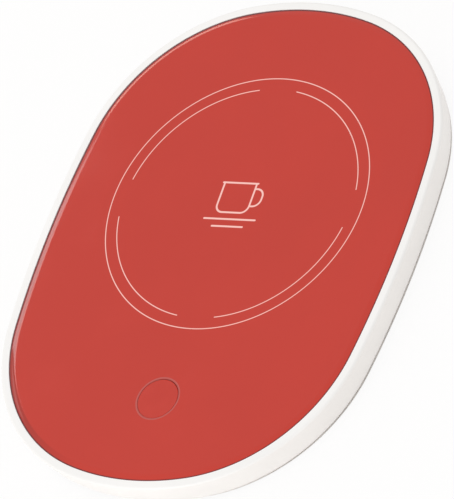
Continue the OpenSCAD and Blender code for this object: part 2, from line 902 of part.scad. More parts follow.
// From the side of the inlet board, along the lip and onto the control board beside its rear boss
function power_route() =
    let (
        start = [inlet_w / 2 + shell_tab.x + inlet_lead_gap, inlet_board_min_y + inlet_lead_y],
        edge_x = inlet_board_w / 2 + edge_reach,
        beside_boss = boss_r + boss_gap + (lead_pitch + lead_d) / 2,
        entry = [board_w / 2, board_max_y - board_hole_inset - beside_boss]
    )
    [
        at_height(start, lead_board_z),
        at_height([edge_x, start.y], lead_board_z),
        at_height([edge_x + fall, start.y], lead_floor_z),
        for (q = wall_q) at_height(rim_point(q, -lead_inset), lead_floor_z),
        at_height(entry + [16, 6], lead_floor_z),
        at_height(entry + [9, 1], lead_floor_z),
        at_height(entry + [edge_reach + fall, 0], lead_floor_z),
        at_height(entry + [edge_reach, 0], lead_board_z),
        at_height(entry + [-landing, 0], lead_board_z)
    ];

module power_leads() {
    route = smooth(power_route(), 3);
    color("firebrick") for (side = [-1, 1]) tube(beside(route, side * lead_pitch / 2), lead_r);
}

// From a place under the pad out of its front edge and down onto the control board, shifted sideways
function heater_route(start, shift, pad_height, board_height) =
    let (
        pad_front = heater_y - sqrt((heater_r - pad_inset) ^ 2 - start.x ^ 2),
        exit_y = max(pad_front, board_max_y + edge_reach + fall)
    )
    [
        at_height(start, pad_height),
        at_height([start.x, exit_y], pad_height),
        at_height([start.x - shift, board_max_y + edge_reach], board_height),
        at_height([start.x - shift, board_max_y - landing], board_height)
    ];

module heater_leads() {
    fuse_front = [fuse_x, heater_y - fuse_size.y / 2 - seat_gap];
    fuse_rear = [fuse_x, heater_y + fuse_size.y / 2 + seat_gap];
    color("ivory") {
        tube(smooth(heater_route(terminal_front, 0, lead_pad_z, lead_board_z), 4), lead_r);
        tube(smooth(heater_route(fuse_front, fuse_lead_shift, lead_pad_z, lead_board_z), 6), lead_r);
        tube([at_height(fuse_rear, lead_pad_z), at_height(terminal_rear, lead_pad_z)], lead_r);
    }
}

module sensor_leads() {
    lift = sensor_lead_r + seat_gap;
    route = smooth(heater_route([0, heater_y - sensor_hole_r], 0, pad_z + lift, board_top_z + lift), 4);
    color("gold") for (side = [-1, 1])
        tube(beside(route, side * (sensor_lead_d + sensor_lead_gap) / 2), sensor_lead_r);
}

upper_housing();
base_cover();
glass_panel();
glass_tape();
heat_plate();
heating_element();
insulation_pad();
heater_bracket();
bracket_screws();
temperature_sensor();
sensor_pad();
thermal_fuse();
control_board();
controller_chip();
power_transistor();
voltage_regulator();
chip_capacitors();
chip_resistors();
switch_body();
switch_cover();
switch_dome();
switch_plunger();
switch_terminals();
button_cap();
inlet_board();
inlet_shell();
inlet_insulator();
inlet_contacts();
board_screws();
housing_screws();
foot_front_left();
foot_front_right();
foot_rear_left();
foot_rear_right();
power_leads();
heater_leads();
sensor_leads();
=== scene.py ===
import json
import math

import bmesh
import bpy
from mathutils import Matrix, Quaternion, Vector


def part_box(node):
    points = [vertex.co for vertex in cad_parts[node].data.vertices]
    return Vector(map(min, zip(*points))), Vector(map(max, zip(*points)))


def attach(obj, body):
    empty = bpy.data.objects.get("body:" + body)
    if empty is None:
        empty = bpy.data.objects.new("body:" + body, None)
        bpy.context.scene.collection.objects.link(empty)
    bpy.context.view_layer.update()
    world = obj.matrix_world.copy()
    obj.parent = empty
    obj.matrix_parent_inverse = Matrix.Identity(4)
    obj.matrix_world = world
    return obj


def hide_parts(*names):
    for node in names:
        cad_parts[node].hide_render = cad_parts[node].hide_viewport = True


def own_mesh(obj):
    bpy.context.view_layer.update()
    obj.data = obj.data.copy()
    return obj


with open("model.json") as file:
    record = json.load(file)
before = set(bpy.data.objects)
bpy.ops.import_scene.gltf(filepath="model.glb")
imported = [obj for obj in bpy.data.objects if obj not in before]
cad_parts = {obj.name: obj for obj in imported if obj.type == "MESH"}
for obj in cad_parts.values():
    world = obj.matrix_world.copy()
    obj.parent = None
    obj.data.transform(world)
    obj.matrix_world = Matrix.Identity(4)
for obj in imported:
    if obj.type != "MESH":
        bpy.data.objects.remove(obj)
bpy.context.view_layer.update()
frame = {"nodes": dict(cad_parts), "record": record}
print("frame loaded")


# camera, light and floor

camera = {
    "aim": (0.00336, -0.00222, 0.0115),
    "distance": 3.984,
    "azimuth": -36.15,      # degrees from +X
    "elevation": 46.87,
    "roll": -40.03,
    "lens": 940.84,
}


def directionOf(values):
    # from the middle of the scene towards a camera or a lamp
    turn, rise = math.radians(values["azimuth"]), math.radians(values["elevation"])
    return Vector((math.cos(rise) * math.cos(turn), math.cos(rise) * math.sin(turn), math.sin(rise)))


def hang(name, data, where, back, roll):
    # puts a camera or a lamp there, looking against back
    holder = bpy.data.objects.new(name, data)
    holder.location = where
    holder.rotation_mode = "QUATERNION"
    upright = (-back).to_track_quat("-Z", "Y")
    holder.rotation_quaternion = upright @ Quaternion((0, 0, 1), math.radians(roll))
    bpy.context.scene.collection.objects.link(holder)
    return holder


def addCamera():
    lens = bpy.data.cameras.new("camera")
    lens.lens = camera["lens"]
    back = directionOf(camera)
    where = Vector(camera["aim"]) + camera["distance"] * back
    bpy.context.scene.camera = hang("camera", lens, where, back, camera["roll"])


studio = {
    "worldLevel": 0.875,
    "floorColor": (0.96, 0.915, 0.885, 1),
    "floorGlow": 0.9,         # share of plain white that the eye sees in the floor
    "shadowGlow": 0.0,        # the same close under the object, where the shadow stays
    "shadowEdge": 0.00041,    # how far outside the glass edge that shadow ends
    "shadowShift": (0.00024, 0.0004),    # how far it lies off the object's middle
    "floorReach": 7,          # metres past the glass edge
}

lamps = {
    "key": {"azimuth": -103, "elevation": 22, "distance": 1.4, "size": (0.7, 0.7), "power": 4.4},
    "window": {"azimuth": 153.5, "elevation": 36, "distance": 1.5, "size": (0.19, 0.5), "power": 0.95,
               "turn": 20},
    "strip": {"azimuth": 141.3, "elevation": 30.5, "distance": 1.5, "size": (0.33, 0.19), "power": 0.85,
              "color": (1, 0.84, 0.72)},
    "card": {"azimuth": 164.5, "elevation": 37, "distance": 1.5, "size": (0.2, 0.13), "power": 0.08},
}


def glowing(tree, kind, level):
    # plain white light from a shader of this kind
    node = tree.nodes.new(kind)
    node.inputs["Color"].default_value = (1, 1, 1, 1)
    node.inputs["Strength"].default_value = level
    return node.outputs[0]


def mixShaders(tree, share, first, second):
    node = tree.nodes.new("ShaderNodeMixShader")
    tree.links.new(share, node.inputs["Fac"])
    tree.links.new(first, node.inputs[1])
    tree.links.new(second, node.inputs[2])
    return node.outputs[0]


def addWorld():
    # lights the object with its own level, while camera and mirrors see plain white
    world = bpy.data.worlds.new("studio")
    bpy.context.scene.world = world
    world.use_nodes = True
    tree = world.node_tree
    tree.nodes.clear()
    paths = tree.nodes.new("ShaderNodeLightPath").outputs
    mirrored = calculate(tree, "MAXIMUM", paths["Is Glossy Ray"], paths["Is Transmission Ray"])
    seen = calculate(tree, "MAXIMUM", paths["Is Camera Ray"], mirrored)
    plain = glowing(tree, "ShaderNodeBackground", studio["worldLevel"])
    white = glowing(tree, "ShaderNodeBackground", 1)
    output = tree.nodes.new("ShaderNodeOutputWorld")
    tree.links.new(mixShaders(tree, seen, plain, white), output.inputs["Surface"])


def addLamp(name, values):
    lamp = bpy.data.lights.new(name, "AREA")
    lamp.shape = "RECTANGLE"
    lamp.size, lamp.size_y = values["size"]
    lamp.energy = values["power"]
    lamp.color = values.get("color", (1, 1, 1))
    back = directionOf(values)
    hang(name, lamp, values["distance"] * back, back, values.get("turn", 0))


def floorMaterial(name, glow):
    # paper that camera and mirrors see as plain white by this share
    material = bpy.data.materials.new(name)
    material.use_nodes = True
    tree = material.node_tree
    tree.nodes.clear()
    paper = tree.nodes.new("ShaderNodeBsdfDiffuse")
    paper.inputs["Color"].default_value = studio["floorColor"]
    white = glowing(tree, "ShaderNodeEmission", 1)
    paths = tree.nodes.new("ShaderNodeLightPath").outputs
    seen = calculate(tree, "MAXIMUM", paths["Is Camera Ray"], paths["Is Glossy Ray"])
    share = calculate(tree, "MULTIPLY", seen, glow)
    output = tree.nodes.new("ShaderNodeOutputMaterial")
    tree.links.new(mixShaders(tree, share, paper.outputs[0], white), output.inputs["Surface"])
    return material


def addFloor():
    # a wide flat sheet with the shape of the object's shadow set into it
    section = [(studio["shadowEdge"], 0), (studio["floorReach"], 0)]
    floor = drawSection("studioFloor", section, (halfWidth, 0))
    turnSection(floor)
    floor.data.materials.append(floorMaterial("floorPaper", studio["floorGlow"]))
    floor.data.materials.append(floorMaterial("floorShadow", studio["shadowGlow"]))
    bpy.ops.object.mode_set(mode="EDIT")
    selectEdges(floor, lambda e: e.is_boundary and all(v.co.length < 2 * halfLength for v in e.verts))
    bpy.ops.transform.translate(value=studio["shadowShift"] + (0,))
    bpy.ops.mesh.edge_face_add()
    floor.active_material_index = 1
    bpy.ops.object.material_slot_assign()
    closeUp(floor)


# modelling by hand

near = 1e-6             # closer than this counts as the same place
cutterOver = 0.0005     # how far a cutter stands past what it cuts


def clearSelection():
    if bpy.context.object and bpy.context.object.mode != "OBJECT":
        bpy.ops.object.mode_set(mode="OBJECT")
    bpy.ops.object.select_all(action="DESELECT")


def pick(piece):
    clearSelection()
    piece.select_set(True)
    bpy.context.view_layer.objects.active = piece


def applyModifier(piece, kind, **settings):
    pick(piece)
    modifier = piece.modifiers.new(kind.lower(), kind)
    for key, value in settings.items():
        setattr(modifier, key, value)
    bpy.ops.object.modifier_apply(modifier=modifier.name)


def arc(across, up, radius, start, end, steps):
    # points of a rounded edge in section, angles in degrees
    turns = [math.radians(start + (end - start) * i / steps) for i in range(steps + 1)]
    return [(across + radius * math.cos(q), up + radius * math.sin(q)) for q in turns]


def drawSection(name, points, centre):
    # points are (across, height) from the centre; leaves the section selected in edit mode
    clearSelection()
    bpy.ops.mesh.primitive_plane_add(size=0.001)
    piece = bpy.context.object
    piece.name = name
    piece.data.name = name
    bpy.ops.object.mode_set(mode="EDIT")
    bpy.ops.mesh.merge(type="CENTER")
    bpy.ops.transform.translate(value=(centre[0] + points[0][0], centre[1], points[0][1]))
    for before, after in zip(points, points[1:]):
        step = (after[0] - before[0], 0, after[1] - before[1])
        bpy.ops.mesh.extrude_region_move(TRANSFORM_OT_translate={"value": step})
    bpy.ops.mesh.select_all(action="SELECT")
    return piece


def selectEdges(piece, wanted):
    bpy.ops.mesh.select_mode(type="EDGE")
    bpy.ops.mesh.select_all(action="DESELECT")
    mesh = bmesh.from_edit_mesh(piece.data)
    for edge in mesh.edges:
        if wanted(edge):
            edge.select_set(True)
    bmesh.update_edit_mesh(piece.data)


def fillLoop(piece, level):
    # closes the open loop that lies level at this height
    selectEdges(piece, lambda e: e.is_boundary and all(abs(v.co.z - level) < near for v in e.verts))
    bpy.ops.mesh.edge_face_add()


def closeUp(piece):
    bpy.ops.mesh.select_mode(type="VERT")
    bpy.ops.mesh.select_all(action="SELECT")
    bpy.ops.mesh.remove_doubles(threshold=near)
    bpy.ops.mesh.normals_make_consistent(inside=False)
    bpy.ops.object.mode_set(mode="OBJECT")


def shade(piece, sharpAngle=32):
    pick(piece)
    bpy.ops.object.shade_smooth_by_angle(angle=math.radians(sharpAngle))
    applyModifier(piece, "WEIGHTED_NORMAL", keep_sharp=True)


def revolve(name, points, centre, steps):
    piece = drawSection(name, points, centre)
    bpy.ops.mesh.spin(steps=steps, angle=-2 * math.pi, center=(centre[0], centre[1], 0), axis=(0, 0, 1))
    closeUp(piece)
    return piece


def joined(pieces):
    pick(pieces[0])
    for piece in pieces[1:]:
        piece.select_set(True)
    bpy.ops.object.join()
    return bpy.context.object


def rod(centre, radius, low, high, steps=64):
    clearSelection()
    place = (centre[0], centre[1], (low + high) / 2)
    bpy.ops.mesh.primitive_cylinder_add(vertices=steps, radius=radius, depth=high - low, location=place)
    piece = bpy.context.object
    bpy.ops.object.transform_apply(location=True, rotation=False, scale=False)
    return piece


def combine(piece, tool, operation):
    applyModifier(piece, "BOOLEAN", object=tool, operation=operation, solver="EXACT")
    bpy.data.objects.remove(tool)


# the oval: side, shoulder and end arcs make each quarter

oval = {
    "endRadius": 0.084,
    "sideRadius": 0.335,
    "shoulderRadius": 0.0546,
    "endSteps": 16,
    "sideSteps": 16,
    "shoulderSteps": 80,
}
glassLow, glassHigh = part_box("glass_panel")
halfWidth, halfLength = glassHigh.x, glassHigh.y


def ovalArcs():
    endCentre = Vector((0, halfLength - oval["endRadius"]))
    sideCentre = Vector((halfWidth - oval["sideRadius"], 0))
    gap = sideCentre - endCentre
    fromEnd = oval["endRadius"] - oval["shoulderRadius"]
    fromSide = oval["sideRadius"] - oval["shoulderRadius"]
    along = (fromEnd ** 2 - fromSide ** 2 + gap.length ** 2) / (2 * gap.length)
    across = math.sqrt(fromEnd ** 2 - along ** 2)
    direction = gap.normalized()
    shoulderCentre = endCentre + along * direction + across * Vector((direction.y, -direction.x))
    sideTurn = (shoulderCentre - sideCentre).angle_signed(Vector((1, 0)))
    endTurn = (shoulderCentre - endCentre).angle_signed(Vector((1, 0)))
    return [
        (sideCentre, sideTurn, oval["sideSteps"]),
        (shoulderCentre, endTurn - sideTurn, oval["shoulderSteps"]),
        (endCentre, math.pi / 2 - endTurn, oval["endSteps"]),
    ]


def turnSection(piece):
    for centre, turn, steps in ovalArcs():
        # a positive angle spins clockwise
        bpy.ops.mesh.spin(steps=steps, angle=-turn, center=(centre.x, centre.y, 0), axis=(0, 0, 1))
    bpy.ops.object.mode_set(mode="OBJECT")
    applyModifier(piece, "MIRROR", use_axis=(True, True, False), merge_threshold=1e-5)


def sweepRound(name, points):
    # points are (how far outside the glass edge, height)
    piece = drawSection(name, points, (halfWidth, 0))
    turnSection(piece)
    bpy.ops.object.mode_set(mode="EDIT")
    fillLoop(piece, points[0][1])
    fillLoop(piece, points[-1][1])
    closeUp(piece)
    return piece


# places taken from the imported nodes

def middle(node):
    low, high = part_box(node)
    return (low + high) / 2


buttonMiddle, heaterMiddle = middle("button_cap"), middle("heat_plate")
footNodes = ["foot_front_left", "foot_front_right", "foot_rear_left", "foot_rear_right"]


# shading by nodes

def newGroup(name, inputs, outputs):
    group = bpy.data.node_groups.new(name, "ShaderNodeTree")
    for label, start in inputs.items():
        socket = group.interface.new_socket(name=label, in_out="INPUT", socket_type="NodeSocketFloat")
        socket.default_value = start
    for label in outputs:
        group.interface.new_socket(name=label, in_out="OUTPUT", socket_type="NodeSocketFloat")
    return group, group.nodes.new("NodeGroupInput"), group.nodes.new("NodeGroupOutput")


def connect(tree, socket, source):
    if isinstance(source, bpy.types.NodeSocket):
        tree.links.new(source, socket)
    else:
        socket.default_value = source


def calculate(tree, operation, *sources):
    node = tree.nodes.new("ShaderNodeMath")
    node.operation = operation
    for socket, source in zip(node.inputs, sources):
        connect(tree, socket, source)
    return node.outputs[0]


def ramp(tree, source, low, high, lowOut=0.0, highOut=1.0):
    node = tree.nodes.new("ShaderNodeMapRange")
    connect(tree, node.inputs["Value"], source)
    for label, amount in (("From Min", low), ("From Max", high), ("To Min", lowOut), ("To Max", highOut)):
        connect(tree, node.inputs[label], amount)
    return node.outputs["Result"]


def place(tree):
    return tree.nodes.new("ShaderNodeTexCoord").outputs["Object"]


def stretch(tree, where, scale, turn=0):
    node = tree.nodes.new("ShaderNodeMapping")
    node.inputs["Rotation"].default_value = (0, 0, math.radians(turn))
    node.inputs["Scale"].default_value = scale
    tree.links.new(where, node.inputs["Vector"])
    return node.outputs["Vector"]


def noise(tree, where, scale, detail=2.0, roughness=0.5):
    node = tree.nodes.new("ShaderNodeTexNoise")
    tree.links.new(where, node.inputs["Vector"])
    connect(tree, node.inputs["Scale"], scale)
    node.inputs["Detail"].default_value = detail
    node.inputs["Roughness"].default_value = roughness
    return node.outputs["Fac"]


patterns = {
    "contrast": (0.3, 0.7),            # part of the noise that goes from nothing to full
    "grainScale": 5000.0,
    "cloudScale": 40.0,
    "smudgeScale": 28.0,
    "smudgeContrast": (0.42, 0.68),
    "scratchWidth": 0.012,
    "scratchTurn": 35,                 # degrees
    "scratchStretch": (240, 9, 60),
    "patchScale": 60.0,                # of the places that have scratches
    "patchContrast": (0.6, 0.7),
    "lineScale": 9000.0,
    "lineStretch": (1, 0.03, 0.03),
}


def mouldGrain():
    # spark-eroded mould texture with faint flow clouds
    inputs = {"Grain Scale": patterns["grainScale"], "Cloud Scale": patterns["cloudScale"]}
    group, given, out = newGroup("mouldGrain", inputs, ["Height", "Tint", "Gloss"])
    where = place(group)
    fine = noise(group, where, given.outputs["Grain Scale"], detail=1.0)
    clouds = noise(group, where, given.outputs["Cloud Scale"], detail=3.0)
    group.links.new(fine, out.inputs["Height"])
    group.links.new(ramp(group, clouds, *patterns["contrast"]), out.inputs["Tint"])
    halves = [calculate(group, "MULTIPLY", part, 0.5) for part in (fine, clouds)]
    mixed = calculate(group, "ADD", *halves)
    group.links.new(ramp(group, mixed, *patterns["contrast"]), out.inputs["Gloss"])
    return group


def handling():
    # smudges and a few hairline scratches from use
    inputs = {"Smudge Scale": patterns["smudgeScale"], "Scratch Width": patterns["scratchWidth"]}
    group, given, out = newGroup("handling", inputs, ["Smudge", "Scratch"])
    where = place(group)
    smudge = noise(group, where, given.outputs["Smudge Scale"], detail=4.0, roughness=0.6)
    group.links.new(ramp(group, smudge, *patterns["smudgeContrast"]), out.inputs["Smudge"])
    drawn = stretch(group, where, patterns["scratchStretch"], patterns["scratchTurn"])
    lines = noise(group, drawn, 1.0, detail=0.0)
    distance = calculate(group, "ABSOLUTE", calculate(group, "SUBTRACT", lines, 0.5))
    hair = ramp(group, distance, 0.0, given.outputs["Scratch Width"], 1.0, 0.0)
    spots = noise(group, where, patterns["patchScale"], detail=1.0)
    patches = ramp(group, spots, *patterns["patchContrast"])
    group.links.new(calculate(group, "MULTIPLY", hair, patches), out.inputs["Scratch"])
    return group


def brushing():
    # fine parallel lines left by rolling or drawing
    group, given, out = newGroup("brushing", {"Line Scale": patterns["lineScale"]}, ["Height", "Gloss"])
    drawn = stretch(group, place(group), patterns["lineStretch"])
    lines = noise(group, drawn, given.outputs["Line Scale"])
    group.links.new(lines, out.inputs["Height"])
    group.links.new(ramp(group, lines, *patterns["contrast"]), out.inputs["Gloss"])
    return group


groups = {"mouldGrain": mouldGrain(), "handling": handling(), "brushing": brushing()}


def useGroup(tree, name, **amounts):
    node = tree.nodes.new("ShaderNodeGroup")
    node.node_tree = groups[name]
    for label, amount in amounts.items():
        node.inputs[label.replace("_", " ")].default_value = amount
    return node.outputs


def newFinish(name, **sockets):
    material = bpy.data.materials.new(name)
    material.use_nodes = True
    shader = material.node_tree.nodes["Principled BSDF"]
    for label, amount in sockets.items():
        shader.inputs[label.replace("_", " ")].default_value = amount
    return material, material.node_tree, shader


def blendColors(tree, factor, first, second):
    node = tree.nodes.new("ShaderNodeMix")
    node.data_type = "RGBA"
    connect(tree, node.inputs["Factor"], factor)
    connect(tree, node.inputs[6], first)
    connect(tree, node.inputs[7], second)
    return node.outputs[2]


def bump(tree, shader, height, depth):
    node = tree.nodes.new("ShaderNodeBump")
    node.inputs["Strength"].default_value = 1
    node.inputs["Distance"].default_value = depth
    tree.links.new(height, node.inputs["Height"])
    tree.links.new(node.outputs["Normal"], shader.inputs["Normal"])


def shadeOf(color, factor):
    return tuple(min(1, c * factor) for c in color[:3]) + (1,)


def tinted(tree, factor, color, shares):
    # the colour goes from one share of its brightness to the other
    darker, lighter = [shadeOf(color, share) for share in shares]
    return blendColors(tree, factor, darker, lighter)


kinds = {
    "plastic": {"tint": (0.98, 1.02), "gloss": (-0.04, 0.04)},     # gloss is added to the roughness
    "metal": {"tint": (0.94, 1.04), "gloss": (-0.05, 0.06), "depth": 2e-6},
    "felt": {"tint": (0.85, 1.08), "roughness": 0.95, "scale": 1800.0, "contrast": (0.35, 0.65),
             "depth": 0.00008},
}


def plasticFinish(name, color, roughness, grainScale, grainDepth):
    material, tree, shader = newFinish(name)
    grain = useGroup(tree, "mouldGrain", Grain_Scale=grainScale)
    tree.links.new(tinted(tree, grain["Tint"], color, kinds["plastic"]["tint"]), shader.inputs["Base Color"])
    spread = [roughness + step for step in kinds["plastic"]["gloss"]]
    tree.links.new(ramp(tree, grain["Gloss"], 0, 1, *spread), shader.inputs["Roughness"])
    bump(tree, shader, grain["Height"], grainDepth)
    return material


def metalFinish(name, color, roughness):
    material, tree, shader = newFinish(name, Metallic=1.0)
    lines = useGroup(tree, "brushing")
    tree.links.new(tinted(tree, lines["Gloss"], color, kinds["metal"]["tint"]), shader.inputs["Base Color"])
    spread = [roughness + step for step in kinds["metal"]["gloss"]]
    tree.links.new(ramp(tree, lines["Gloss"], 0, 1, *spread), shader.inputs["Roughness"])
    bump(tree, shader, lines["Height"], kinds["metal"]["depth"])
    return material


def feltFinish(name, color):
    felt = kinds["felt"]
    material, tree, shader = newFinish(name, Roughness=felt["roughness"])
    fibres = noise(tree, place(tree), felt["scale"], detail=4.0, roughness=0.7)
    shown = ramp(tree, fibres, *felt["contrast"])
    tree.links.new(tinted(tree, shown, color, felt["tint"]), shader.inputs["Base Color"])
    bump(tree, shader, fibres, felt["depth"])
    return material


# slot of the record: kind, colour and roughness, and a plastic's grain as scale and depth
finishes = {
    "housing": ("plastic", (0.9, 0.888, 0.87), 0.38, 5200, 4e-6),
    "base": ("plastic", (0.87, 0.855, 0.83), 0.5, 2600, 1.2e-5),
    "tape": ("felt", (0.8, 0.8, 0.77)),
    "heat_plate": ("metal", (0.8, 0.8, 0.81), 0.32),
    "element": ("plastic", (0.62, 0.3, 0.07), 0.28, 3000, 2e-6),
    "insulation": ("felt", (0.78, 0.76, 0.7)),
    "steel": ("metal", (0.68, 0.68, 0.69), 0.3),
    "board": ("plastic", (0.02, 0.17, 0.07), 0.32, 1500, 6e-6),
    "chip": ("plastic", (0.02, 0.02, 0.022), 0.55, 6000, 6e-6),
    "capacitor": ("plastic", (0.5, 0.36, 0.2), 0.4, 5000, 3e-6),
    "ceramic": ("plastic", (0.82, 0.81, 0.78), 0.3, 3000, 3e-6),
    "contact": ("metal", (0.9, 0.66, 0.28), 0.2),
    "silicone": ("plastic", (0.5, 0.12, 0.08), 0.5, 2500, 4e-6),
    "feet": ("plastic", (0.055, 0.055, 0.058), 0.72, 2200, 1.6e-5),
    "lead": ("plastic", (0.55, 0.05, 0.04), 0.42, 3500, 5e-6),
    "sensor_lead": ("plastic", (0.72, 0.5, 0.1), 0.25, 4000, 3e-6),
}


def makeFinish(slot):
    if slot == "glass":
        return redGlass()
    if slot == "button":
        return buttonRed()
    kind, color, *rest = finishes[slot]
    if kind == "plastic":
        return plasticFinish(slot, color, *rest)
    if kind == "metal":
        return metalFinish(slot, color, *rest)
    return feltFinish(slot, color)


def dressNodes():
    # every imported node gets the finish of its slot
    for part in frame["record"]["subparts"]:
        node = frame["nodes"][part["node"]]
        for slot in node.material_slots:
            slot.material = looks[part["material_slot"]]
        if not node.material_slots:
            node.data.materials.append(looks[part["material_slot"]])


def finishPiece(piece, slot, bodyName, *nodes):
    piece.data.materials.clear()
    piece.data.materials.append(looks[slot])
    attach(piece, bodyName)
    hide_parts(*nodes)


housing = {
    "taper": 0.0014,
    "rimRound": 0.0008,
    "rimInnerRound": 0.0001,
    "glassGap": 0.00003,
    "wallThickness": 0.0018,
    "footRound": 0.0003,
    "deckThickness": 0.0012,
    "deckReach": 0.008,                  # how far inside the glass edge the swept rings end
    "heaterClearance": 0.0015,
    "slotWidth": 0.0106,
    "slotHeight": 0.0045,
    "slotLength": 0.006,
    "slotInset": 0.001,                  # how far behind the inlet's mouth it starts
    "footBoss": (0.003, 0.00125),        # outer and bore radius
    "boardBoss": (0.0025, 0.001),
    "bracketBoss": (0.0026, 0.001),
    "bracketReach": 0.047,
    "boardInset": 0.004,
    "inletInset": 0.003,
    "wellTop": 0.0032,                   # of the screw wells, over the base cover's underside
    "bossRun": 0.0005,                   # how far the bosses go up into the deck
    "skin": 0.0005,                      # left over the screws' bores
    "collarWall": 0.0012,
    "collarGap": 0.0002,
    "collarDepth": 0.001,
}


def housingSection():
    low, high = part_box("upper_housing")
    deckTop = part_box("glass_tape")[0].z
    deckUnder = deckTop - housing["deckThickness"]
    rim, foot = high.x - halfWidth, high.x - halfWidth - housing["taper"]
    rimRound, footRound, inner = housing["rimRound"], housing["footRound"], housing["rimInnerRound"]
    gap = housing["glassGap"]
    lean = math.degrees(math.atan2(rim - foot, high.z - rimRound - low.z - footRound))
    slope = (rim - foot) / (high.z - rimRound - low.z)
    underIn = foot + slope * (deckUnder - low.z) - housing["wallThickness"]
    reach = -housing["deckReach"]
    return (
        [(reach, deckTop), (gap, deckTop)]
        + arc(gap + inner, high.z - inner, inner, 180, 90, steps=4)
        + arc(rim - rimRound, high.z - rimRound, rimRound, 90, -lean, steps=9)
        + arc(foot - footRound, low.z + footRound, footRound, -lean, -90, steps=6)
        + [(foot - housing["wallThickness"], low.z), (underIn, deckUnder), (reach, deckUnder)]
    )


def bossPlaces():
    # middle, outer and bore radius and foot height of every screw boss
    boardLow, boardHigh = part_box("control_board")
    inletLow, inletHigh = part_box("inlet_board")
    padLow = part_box("insulation_pad")[0]
    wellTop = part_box("base_cover")[0].z + housing["wellTop"]
    places = [(middle(node), housing["footBoss"], wellTop) for node in footNodes]
    inset = housing["boardInset"]
    for x in (boardLow.x + inset, boardHigh.x - inset):
        for y in (boardLow.y + inset, boardHigh.y - inset):
            places.append((Vector((x, y)), housing["boardBoss"], boardHigh.z))
    inset = housing["inletInset"]
    for x in (inletLow.x + inset, inletHigh.x - inset):
        places.append((Vector((x, inletLow.y + inset)), housing["boardBoss"], inletHigh.z))
    for turn in (45, 135, 225, 315):      # the bracket's screws
        aside = Vector((math.cos(math.radians(turn)), math.sin(math.radians(turn))))
        spot = heaterMiddle.xy + housing["bracketReach"] * aside
        places.append((spot, housing["bracketBoss"], padLow.z))
    return places


def slotCutter():
    # a rod along Y, drawn out sideways to a slot with round ends
    shell = middle("inlet_shell")
    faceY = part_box("inlet_shell")[1].y
    wide, tall, length = housing["slotWidth"], housing["slotHeight"], housing["slotLength"]
    where = (0, faceY - housing["slotInset"] + length / 2, shell.z)
    clearSelection()
    bpy.ops.mesh.primitive_cylinder_add(
        vertices=64, radius=tall / 2, depth=length, location=where, rotation=(math.pi / 2, 0, 0))
    piece = bpy.context.object
    bpy.ops.object.transform_apply(location=True, rotation=True, scale=False)
    bpy.ops.object.mode_set(mode="EDIT")
    for side in (-1, 1):
        bpy.ops.mesh.select_mode(type="VERT")
        bpy.ops.mesh.select_all(action="DESELECT")
        mesh = bmesh.from_edit_mesh(piece.data)
        for point in mesh.verts:
            point.select_set(side * point.co.x > near)
        bmesh.update_edit_mesh(piece.data)
        bpy.ops.transform.translate(value=(side * (wide - tall) / 2, 0, 0))
    bpy.ops.object.mode_set(mode="OBJECT")
    return piece


def makeHousing():
    piece = sweepRound("upperHousing", housingSection())
    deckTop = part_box("glass_tape")[0].z
    deckUnder = deckTop - housing["deckThickness"]
    inside = deckUnder + housing["bossRun"]
    flangeLow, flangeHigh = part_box("button_cap")
    collar = (flangeHigh.x - flangeLow.x) / 2 + housing["collarGap"]
    collarLow = flangeLow.z - housing["collarDepth"]
    bosses = bossPlaces()
    posts = [rod(spot, radii[0], low, inside) for spot, radii, low in bosses]
    posts.append(rod(buttonMiddle, collar + housing["collarWall"], collarLow, inside, steps=96))
    combine(piece, joined(posts), "UNION")
    over, boreTop = cutterOver, deckTop - housing["skin"]
    bores = [rod(spot, radii[1], low - over, boreTop, steps=48) for spot, radii, low in bosses]
    bores.append(rod(buttonMiddle, collar, collarLow - over, deckTop + over, steps=96))
    plateLow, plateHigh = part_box("heat_plate")
    opening = (plateHigh.x - plateLow.x) / 2 + housing["heaterClearance"]
    bores.append(rod(heaterMiddle, opening, deckUnder - over, deckTop + over, steps=192))
    combine(piece, joined(bores), "DIFFERENCE")
    combine(piece, slotCutter(), "DIFFERENCE")
    shade(piece)
    finishPiece(piece, "housing", "body", "upper_housing")


glass = {
    "rimReach": 0.0023,          # width of the gentle roll at the edge
    "rimTilt": (2, 16),          # its slope where it starts and where it ends
    "edgeRound": 0.00015,
    "underChamfer": 0.00025,
    "faceReach": 0.006,          # how far inside the edge the swept rings end
    "holeGap": 0.00009,          # between the hole and the button
    "holeRound": 0.00015,
    "holeShift": (0.00005, 0.00005),          # the hole is a little off the button's middle
    "paint": (0.541, 0.0213, 0.0055, 1),
    "ink": (0.975, 0.56, 0.5, 1),
    "edge": (0.17, 0.004, 0.004, 1),          # the unpainted rim of the pane, darkened with painted shade of the gap in its seat
    "edgeShadeDepth": (0.000285, 0.0003),          # below the top, where that painted shade starts and is full
    "edgeShadeLean": (-0.0012, 0.0006),            # how much wider that painted shade gets to one side
    "rollShadeDepth": (0.000004, 0.00004),         # where the painted shade in the roll starts and is full
    "rollShadeSide": (-0.9, -0.3),                 # on which side of the pane that painted shade lies, and from where
    "rollShadeReach": (0.042, 0.06),
    "rollShade": 0.71,
    "groundEdge": (0.47, 0.066, 0.053, 1),    # around the button
    "groundWidth": 0.00045,                   # past the hole's round, where the ground edge ends
    "groundRough": 0.4,                       # what that edge adds to the roughness
    "edgeRough": 0.2,                         # the outer rim's share of the same
    "smudge": (0.985, 1.015),                 # brightness of the paint, from smudge to smudge
    "scratchRough": 0.08,
    "roughness": (0.05, 0.09),
}

